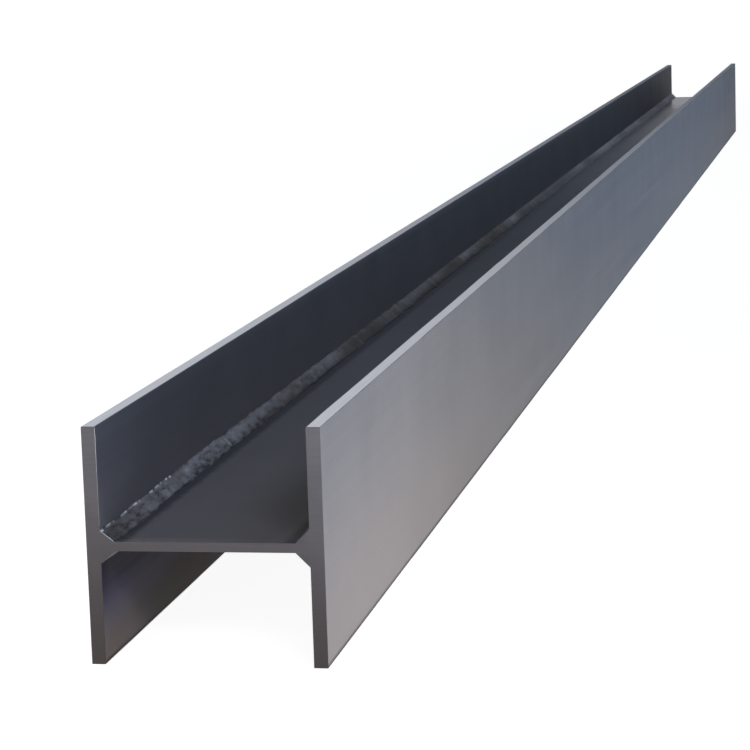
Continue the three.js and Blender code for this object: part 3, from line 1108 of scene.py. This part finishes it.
def weld_legs(generator, solid_legs, lobe, thin_start):
    """The legs on the web and on the flange at every ring, as two columns."""
    stations, on_web, on_flange = solid_legs
    lapped = LOBE_ON_LEG * LOBE_HEIGHT * lobe[:, 0]
    web_toe = TOE_WANDER * wander(generator, weld_y, TOE_WANDER_ON_WEB) + lapped
    flange_toe = TOE_WANDER * wander(generator, weld_y, TOE_WANDER_ON_FLANGE) + lapped
    leg_web = softened(np.interp(weld_y, stations, on_web)) + calm * web_toe
    leg_flange = softened(np.interp(weld_y, stations, on_flange)) + calm * flange_toe
    leg_flange -= thin_start * (1 - eased(from_near / THIN_REACH))
    held_low = calm * (1 - eased((from_near - BROAD_TO) / BROAD_FADE))
    leg_web += MOVED_TO_WEB * thin_start * held_low
    return leg_web[:, None], leg_flange[:, None]


print("a melt evens out", 2 * round(MELT / RING_STEP) + 1, "rings")

# %% [markdown]
# ### The face between the toes
# The face is a smooth curve with four weights, a cubic Bezier. It leaves each plate at a
# shoulder, which stands further off the flange than off the web, because the metal sagged
# there. In the calm at a sawn end it turns into the straight line of a plain fillet, whose
# two inner weights are at its thirds, and past 1.5 m the steadier hand leaves it flatter too.
# The lobes, lumps and ripples then move it out and in, most in its middle and not at all at
# the toes. About 0.4 m from the near end the arc broke on each weld and was struck again,
# which left a sharp lip across it.

# %% Shape the face
SHOULDER = 2.0 * MM  # how far the face stands off the web at its toe
SHOULDER_OFF_FLANGE = 1.5  # how many times as far it stands off the flange
SHOULDER_SAG = 0.8  # and how far the face has sunk there, as a part of the shoulder
RIPPLE_HEIGHT = 0.03 * MM
LUMP_HEIGHT = 0.5 * MM
KNOB_HEIGHT = 0.22 * MM
LATE_STOP = 0.42  # metres from the near end
RIDGE_HEIGHT = 0.5 * MM
RIDGE_WIDTH = 2.0 * MM
FLATTER_FROM = 1.5  # metres from the near end
FLATTER_OVER = 2.5
FLATTENED = 0.7  # the part of both shoulders that is gone at the far end
SWELL_CURVE = 0.6  # below 1, so that the lumps are still high close to the toes

ridge = np.exp(-(((from_near - LATE_STOP) / RIDGE_WIDTH) ** 2))[:, None]


def plain_face(leg_web, leg_flange):
    """How far each point of the face is off the flange and off the web, before the lumps."""
    full = 1 - FLATTENED * eased((from_near - FLATTER_FROM) / FLATTER_OVER)
    held = (calm * full)[:, None]
    flat = (1 - held) / 3
    part = 0.5 - 0.5 * np.cos(np.pi * across)
    start = (1 - part) ** 3
    begin = 3 * part * (1 - part) ** 2
    finish = 3 * part**2 * (1 - part)
    end = part**3
    shoulder_x = SHOULDER_OFF_FLANGE * SHOULDER * held + leg_web * flat
    shoulder_z = SHOULDER * held + leg_flange * flat
    off_flange = (start + begin * (1 - flat)) * leg_web + finish * shoulder_x
    off_web = begin * shoulder_z + (finish * (1 - flat) + end) * leg_flange
    return off_flange, off_web - finish * SHOULDER_SAG * SHOULDER * held


def lumps_on(hand):
    """How far the hand's motion pushes each point of the face outward."""
    swell = calm[:, None] * np.sin(np.pi * across) ** SWELL_CURVE
    return swell * (
        LOBE_HEIGHT * hand["lobe"]
        + RIPPLE_HEIGHT * hand["ripple"]
        + LUMP_HEIGHT * (hand["lump"] + hand["drift"])
        + KNOB_HEIGHT * hand["knob"]
        + RIDGE_HEIGHT * ridge
    )


print(f"the lip is {LATE_STOP} m from the near end and {RIDGE_HEIGHT / MM} mm high")

# %% [markdown]
# ### From the face to a ring
# A ring starts at the root, in the corner of the plates, and then follows the face. Its
# middle runs ahead of its toes, as a ripple's line does, so that every ripple comes out
# bowed. At both ends the outermost points step in by the filed chamfer.

# %% Rings of one weld
BOW = 7.0 * MM  # how far the middle of a ripple runs ahead of its ends
SMEAR = 2.0 * MM  # how far its line strays
DIAGONAL = math.sqrt(0.5)  # what a push straight out of the corner adds to x and to z
FILED_CURVE = 0.3  # well below 1, so that the chamfer is nearly whole right beside the toes


def weld_rings(side, up, leg_web, leg_flange, hand):
    """The rings of one weld: the root first, then the face from the web to the flange."""
    off_flange, off_web = plain_face(leg_web, leg_flange)
    push = DIAGONAL * lumps_on(hand)
    bow = BOW * (1 - (2 * across - 1) ** 2) + SMEAR * hand["stray"]
    root_x, root_z = weld_root(side, up)
    rings = np.zeros((len(weld_y), WELD_POINTS, 3))
    rings[:, 0, 0] = root_x
    rings[:, 0, 1] = weld_y
    rings[:, 0, 2] = root_z
    rings[:, 1:, 0] = root_x - side * (off_flange + push)
    rings[:, 1:, 1] = np.clip(y_grid - calm[:, None] * bow, NEAR_END, FAR_END)
    rings[:, 1:, 2] = root_z + up * (off_web + push)
    filed = np.sin(np.pi * across) ** FILED_CURVE * END_CHAMFER * DIAGONAL
    for ring in (0, -1):
        rings[ring, 1:, 0] += side * filed
        rings[ring, 1:, 2] -= up * filed
    return rings


print("a weld has", len(weld_y) * WELD_POINTS, "points")

# %% [markdown]
# ### Slag along a weld
# The further from the near end, the less time was spent on cleaning, so more slag is left on.
# Toward the far half the weather has taken a little of it off again. The saw scorched the
# 50 mm next to the near cut.

# %% Slag left on each ring
UNCLEANED = 0.36
UNCLEANED_FROM = 0.3  # metres from the near end
UNCLEANED_OVER = 1.1
UNCLEANED_CURVE = 0.6  # below 1, so that most of the change comes early
WEATHERED = 0.08
WEATHERED_FROM = 2.0
WEATHERED_OVER = 1.5
SCORCHED = 0.15
SCORCH_REACH = 50 * MM


def slag_left():
    """How much more slag is left on each ring than on a clean one."""
    further = np.clip((from_near - UNCLEANED_FROM) / UNCLEANED_OVER, 0, 1)
    weathered = WEATHERED * np.clip((from_near - WEATHERED_FROM) / WEATHERED_OVER, 0, 1)
    scorched = SCORCHED * np.clip(1 - from_near / SCORCH_REACH, 0, 1)
    return (UNCLEANED * further**UNCLEANED_CURVE - weathered + scorched)[:, None]


print(f"slag takes off up to {slag_left().max():.2f} of the crest")

# %% [markdown]
# ### How clean each point is
# The crest value says how far the slag is off. The half toward the flange is painted lighter and
# the side toward the web darker: painted light on the upper side of the bead and painted shade on
# its lower side. What stands out is cleaner than a hollow, and where the hand was unsteady the toe
# on the web is lighter as well. A rim beside the toe on the flange keeps its slag, and keeps more
# of it further along. Near the end the toe on the flange carries dashes of painted highlight, and
# the sharp lip carries one too.

# %% Clean and unclean places of a weld
CLEAN_EVERYWHERE = 0.2
CLEAN_AND_LIT_TOWARD_FLANGE = 0.42
REACH_AND_SHADE_AT_WEB = 0.1  # how light the toe on the web is, dark there as painted shade
REACH_AND_LIGHT_RISE = 1.2  # and how much lighter it gets toward the flange, up to 1: painted light on the upper side
CLEAN_WEB_TOE = 0.45
WEB_TOE_WIDTH = 0.15  # as a part of the way across the face, from the web to the flange
RIM_FROM = 0.75  # and where the dark rim beside the toe on the flange begins
RIM_SLAG = 1.85  # where the hand was steady, and up to 1 less where it wasn't
CLEAN_ON = {"lobe": 0.1, "lump": 0.15, "drift": 0.3, "knob": 0.15}  # if it stands out
# painted highlights: a bright lip and dashes along the toe on the flange
LIP_GLINT = 0.6
TOE_GLINT = 1.5
TOE_GLINT_FROM = 0.71
TOE_GLINT_SOFT = 0.08  # the part of the way across over which it comes up
TOE_GLINT_REACH = 0.31  # metres from the near end
TOE_GLINT_FADE = 4  # so it fades over the last quarter of that
DASH_SPACING = 6 * MM
DASH_MEAN = 0.75
DASH_SWING = 1.6  # more than it takes to go from 0 to 1, so that a dash has clear ends
CREST_MOST = 1.4


def crest_values(generator, hand):
    """The crest of every point of one weld: 0 under slag, 1 chipped clean, more if bright, with
    painted light, shade and glints in it.
    """
    loose = unsteady[:, None]
    rim = np.clip((across - RIM_FROM) / (1 - RIM_FROM), 0, 1)
    reached_and_lit = np.clip(REACH_AND_SHADE_AT_WEB + REACH_AND_LIGHT_RISE * across, 0, 1) - (RIM_SLAG - loose) * rim
    reached_and_lit += CLEAN_WEB_TOE * loose * np.clip(1 - across / WEB_TOE_WIDTH, 0, 1)
    crest = CLEAN_EVERYWHERE + CLEAN_AND_LIT_TOWARD_FLANGE * reached_and_lit - slag_left()
    crest += sum(share * hand[motion] for motion, share in CLEAN_ON.items())
    crest += LIP_GLINT * ridge * np.sin(np.pi * across) ** 2
    dashes = np.clip(DASH_MEAN + DASH_SWING * wander(generator, weld_y, DASH_SPACING), 0, 1)
    short_of_reach = 1 - np.clip(from_near / TOE_GLINT_REACH, 0, 1)
    followed = np.clip(TOE_GLINT_FADE * short_of_reach, 0, 1)
    at_toe = np.clip((across - TOE_GLINT_FROM) / TOE_GLINT_SOFT, 0, 1)
    painted_glint = TOE_GLINT * (dashes * followed)[:, None] * at_toe
    values = np.zeros((len(weld_y), WELD_POINTS))
    values[:, 1:] = np.maximum(crest, painted_glint)
    return np.clip(values, 0, CREST_MOST)


print(f"the toe on the flange shines in dashes for {TOE_GLINT_REACH} m")

# %% [markdown]
# ### Laying the four welds
# Each weld has its own seed, so no two look alike. The order of the random draws is fixed: the
# hand's motion, the two toes, and the dashes of painted glint. Only the upper left weld's filed
# ends get the bright edge steel, as a painted highlight line like the one on the flange beside it.

# %% Weld beads
THIN_START = 3.0 * MM
THIN_START_BELOW = 1.5 * MM  # the lower weld was laid more evenly


def lay_weld(where, side, up, seed, filed_slot, thin_start):
    """A lumpy weld bead that fills its corner from the web's face to the flange's."""
    name = where + "_weld"
    node = where + "_weld_bead"
    generator = np.random.default_rng(seed)
    hand = hand_motion(generator)
    solid_legs = weld_stations(node, side, up)
    leg_web, leg_flange = weld_legs(generator, solid_legs, hand["lobe"], thin_start)
    rings = weld_rings(side, up, leg_web, leg_flange, hand)
    mesh = bar_mesh(name, rings, [ON_FACE] * WELD_POINTS, filed_slot)
    layer = mesh.attributes.new("crest", "FLOAT", "POINT")
    layer.data.foreach_set("value", crest_values(generator, hand).ravel().tolist())
    place_piece(name, mesh, weld_metal, node)


# the upper left weld's filed ends carry a painted highlight line
lay_weld("upper_left", LEFT, ABOVE, seed=21, filed_slot=ON_EDGE, thin_start=THIN_START)
lay_weld("upper_right", RIGHT, ABOVE, seed=22, filed_slot=ON_END, thin_start=0.0)
lay_weld("lower_left", LEFT, BELOW, seed=23, filed_slot=ON_END, thin_start=THIN_START_BELOW)
lay_weld("lower_right", RIGHT, BELOW, seed=24, filed_slot=ON_END, thin_start=0.0)

# %% [markdown]
# ## The floor
# The studio floor is pale and runs far past the beam in every direction, so no horizon shows.
# What the camera and the steel's gloss see of it is almost plain white, which comes from an
# emission that only those rays meet, through Light Path. On top of it the floor is a real
# lit surface. Close to the beam the emission is a little weaker, so that the beam's shadow
# still shows there, and the scale along the beam is stretched to suit a long object.

# %% Studio floor
FLOOR_HALF = 60.0
FLOOR_PAINT = "#c6c8cc"
GLOW_AT_BEAM = 0.93
GLOW_AT_BEAM_TO = 0.5  # metres to the side of the beam's middle
GLOW_FULL_FROM = 1.6
ALONG_SQUEEZE = 0.22  # the same zone reaches further along the beam than beside it


def seen_directly(tree):
    """1 for rays that see the background: from the camera, in gloss and through glass."""
    path = add(tree, "LightPath")
    gloss = add(tree, "Math", {"operation": "MAXIMUM"}, {
        0: path.outputs["Is Glossy Ray"], 1: path.outputs["Is Transmission Ray"],
    })
    either = add(tree, "Math", {"operation": "MAXIMUM"}, {
        0: path.outputs["Is Camera Ray"], 1: gloss.outputs[0],
    })
    return either.outputs[0]


floor_paint, tree, out = new_material("studio_floor_paint")
place = add(tree, "TexCoord").outputs["Object"]
squeezed = add(tree, "Mapping", inputs={"Vector": place, "Scale": (1.0, ALONG_SQUEEZE, 1.0)})
off_beam = add(tree, "VectorMath", {"operation": "LENGTH"}, {0: squeezed.outputs[0]})
away = add(tree, "MapRange", SMOOTH, {
    "Value": off_beam.outputs["Value"], "From Min": GLOW_AT_BEAM_TO, "From Max": GLOW_FULL_FROM,
    "To Min": GLOW_AT_BEAM, "To Max": 1.0,
})
shown = add(tree, "Math", TIMES, {0: seen_directly(tree), 1: away.outputs[0]})
lit = add(tree, "BsdfDiffuse", inputs={"Color": linear(FLOOR_PAINT)})
glow = add(tree, "Emission", inputs={"Color": linear("#ffffff"), "Strength": shown.outputs[0]})
both = add(tree, "AddShader", inputs={0: lit.outputs[0], 1: glow.outputs[0]})
tree.links.new(both.outputs[0], out.inputs["Surface"])

signs = ((-1, -1), (1, -1), (1, 1), (-1, 1))
floor_corners = [(x * FLOOR_HALF, y * FLOOR_HALF, 0.0) for x, y in signs]
floor_mesh = bpy.data.meshes.new("studio_floor")
floor_mesh.from_pydata(floor_corners, [], [(0, 1, 2, 3)])
floor_mesh.materials.append(floor_paint)
floor = bpy.data.objects.new("studio_floor", floor_mesh)
scene.collection.objects.link(floor)
print("the floor is", 2 * FLOOR_HALF, "m wide")

# %% [markdown]
# ## The studio air and its walls
# The world does three jobs. As light it is a dim, slightly blue fill. To the camera it is
# plain white, so no view shows a wall or a horizon. To the gloss of the steel it is a room:
# dim near the floor, brightest a little above it, and dark overhead. Polished faces need
# that difference, because metal looks like metal only by what it mirrors.

# %% Studio air
AIR_TINT = "#cfd6e2"
AIR_STRENGTH = 0.06
WALL = "#f4f7fc"
WALL_AT_FLOOR = 0.33
WALL_OVERHEAD = 0.12
WALL_BRIGHTENS = (0.04, 0.20)  # the upward part of a ray's direction: 0 is level, 1 straight up
WALL_DARKENS = (0.28, 0.60)

world = bpy.data.worlds.new("studio_air")
scene.world = world
world.use_nodes = True
tree = world.node_tree
tree.nodes.clear()
air = add(tree, "Background", inputs={"Color": linear(AIR_TINT), "Strength": AIR_STRENGTH})
facing = add(tree, "TexCoord").outputs["Generated"]
steepness = add(tree, "SeparateXYZ", inputs={0: facing}).outputs["Z"]
rise = add(tree, "MapRange", SMOOTH, {
    "Value": steepness, "From Min": WALL_BRIGHTENS[0], "From Max": WALL_BRIGHTENS[1],
    "To Min": WALL_AT_FLOOR, "To Max": 1.0,
})
fall = add(tree, "MapRange", SMOOTH, {
    "Value": steepness, "From Min": WALL_DARKENS[0], "From Max": WALL_DARKENS[1],
    "To Min": 1.0, "To Max": WALL_OVERHEAD,
})
graded = add(tree, "Math", TIMES, {0: rise.outputs[0], 1: fall.outputs[0]})
wall = add(tree, "VectorMath", {"operation": "SCALE"}, {
    0: linear(WALL)[:3], "Scale": graded.outputs[0],
})
wall_or_white = add(tree, "Mix", COLOURS, {
    0: add(tree, "LightPath").outputs["Is Camera Ray"], 6: wall.outputs[0], 7: linear("#ffffff"),
})
backdrop = add(tree, "Background", inputs={"Color": wall_or_white.outputs[2], "Strength": 1.0})
air_or_wall = add(tree, "MixShader", inputs={
    0: seen_directly(tree), 1: air.outputs[0], 2: backdrop.outputs[0],
})
tree.links.new(air_or_wall.outputs[0], add(tree, "OutputWorld").inputs["Surface"])
print("the world has", len(tree.nodes), "nodes")

# %% [markdown]
# ## The lamps
# Long stock needs long lamps. A strip about as long as the beam lights each outer side, cool
# on the right and nearly white on the left. A broad one overhead gives the web and the
# flange tips their cool cast. The near end is lit on its own: a warm key from the right
# models the first half metre, two boxes in front light the sawn section, and a small one
# high on the left reaches the inside of the right flange. Three weak ones clear shadows: a
# lamp beyond the far end for the channel under the web, a strip close to the floor for the
# right foot, and a card for the lower left corner. All stay at a level at which a colour
# renders about as it is written, and none is seen by the camera.

# %% Soft boxes
def soft_box(name, place, aim, size, colour, watts):
    """A rectangular lamp that points at a place and isn't itself seen."""
    data = bpy.data.lights.new(name, "AREA")
    data.shape = "RECTANGLE"
    data.size, data.size_y = size
    data.color = linear(colour)[:3]
    data.energy = watts
    lamp = bpy.data.objects.new(name, data)
    lamp.location = place
    lamp.rotation_mode = "QUATERNION"
    lamp.rotation_quaternion = (Vector(aim) - Vector(place)).to_track_quat("-Z", "Y")
    lamp.visible_camera = False
    scene.collection.objects.link(lamp)


soft_box(
    "near_key", place=(1.6, NEAR_END + 0.25, 0.11), aim=(FLANGE_OUTER, NEAR_END + 0.2, WEB_MIDDLE),
    size=(0.5, 0.18), colour="#fff4de", watts=12.3,
)
soft_box(
    "long_key", place=(2.4, 0.6, 0.17), aim=(FLANGE_OUTER, 0.6, WEB_MIDDLE),
    size=(5.4, 0.3), colour="#c1deff", watts=26.5,
)
soft_box(
    "left_fill", place=(-2.4, 0.0, WEB_MIDDLE), aim=(-FLANGE_OUTER, 0.0, WEB_MIDDLE),
    size=(6.0, 0.16), colour="#eef4ff", watts=55,
)
soft_box(
    "far_fill", place=(0.0, FAR_END + 6.0, 0.06), aim=(0.0, FAR_END, 0.06),
    size=(0.17, 0.1), colour="#f4f4ff", watts=4.0,
)
soft_box(
    "floor_strip", place=(0.45, NEAR_END + 0.2, 0.03), aim=(FLANGE_OUTER, NEAR_END + 0.2, 0.06),
    size=(0.5, 0.05), colour="#f4f4ff", watts=0.343,
)
soft_box(
    "overhead", place=(1.5, 0.2, 2.4), aim=(0.0, 0.2, WEB_MIDDLE),
    size=(4.0, 0.8), colour="#add5ff", watts=10.1,
)
soft_box(
    "front", place=(-0.7, NEAR_END - 2.4, 0.35), aim=(0.0, NEAR_END, WEB_MIDDLE),
    size=(0.8, 0.4), colour="#fff6de", watts=12,
)
soft_box(
    "front_high", place=(0.9, NEAR_END - 1.6, 1.3), aim=(0.0, NEAR_END + 0.1, WEB_MIDDLE),
    size=(0.8, 0.4), colour="#e0e7ff", watts=9.55,
)
soft_box(
    "left_high", place=(-1.8, NEAR_END + 0.2, 0.95), aim=(0.0, NEAR_END + 0.1, FLANGE_TOP),
    size=(0.3, 0.3), colour="#ffffff", watts=15,
)
soft_box(
    "low_card", place=(0.30, NEAR_END - 0.25, 0.03), aim=(-FLANGE_INNER, NEAR_END + 0.15, 0.04),
    size=(0.3, 0.05), colour="#c8dcff", watts=0.209,
)
print(len(bpy.data.lights), "soft boxes")

# %% [markdown]
# ## Colour handling
# The Standard view keeps colours as they are written, without the film-like curve that
# would grey the white background.

# %% Colour handling
scene.view_settings.view_transform = "Standard"
print("view transform:", scene.view_settings.view_transform)
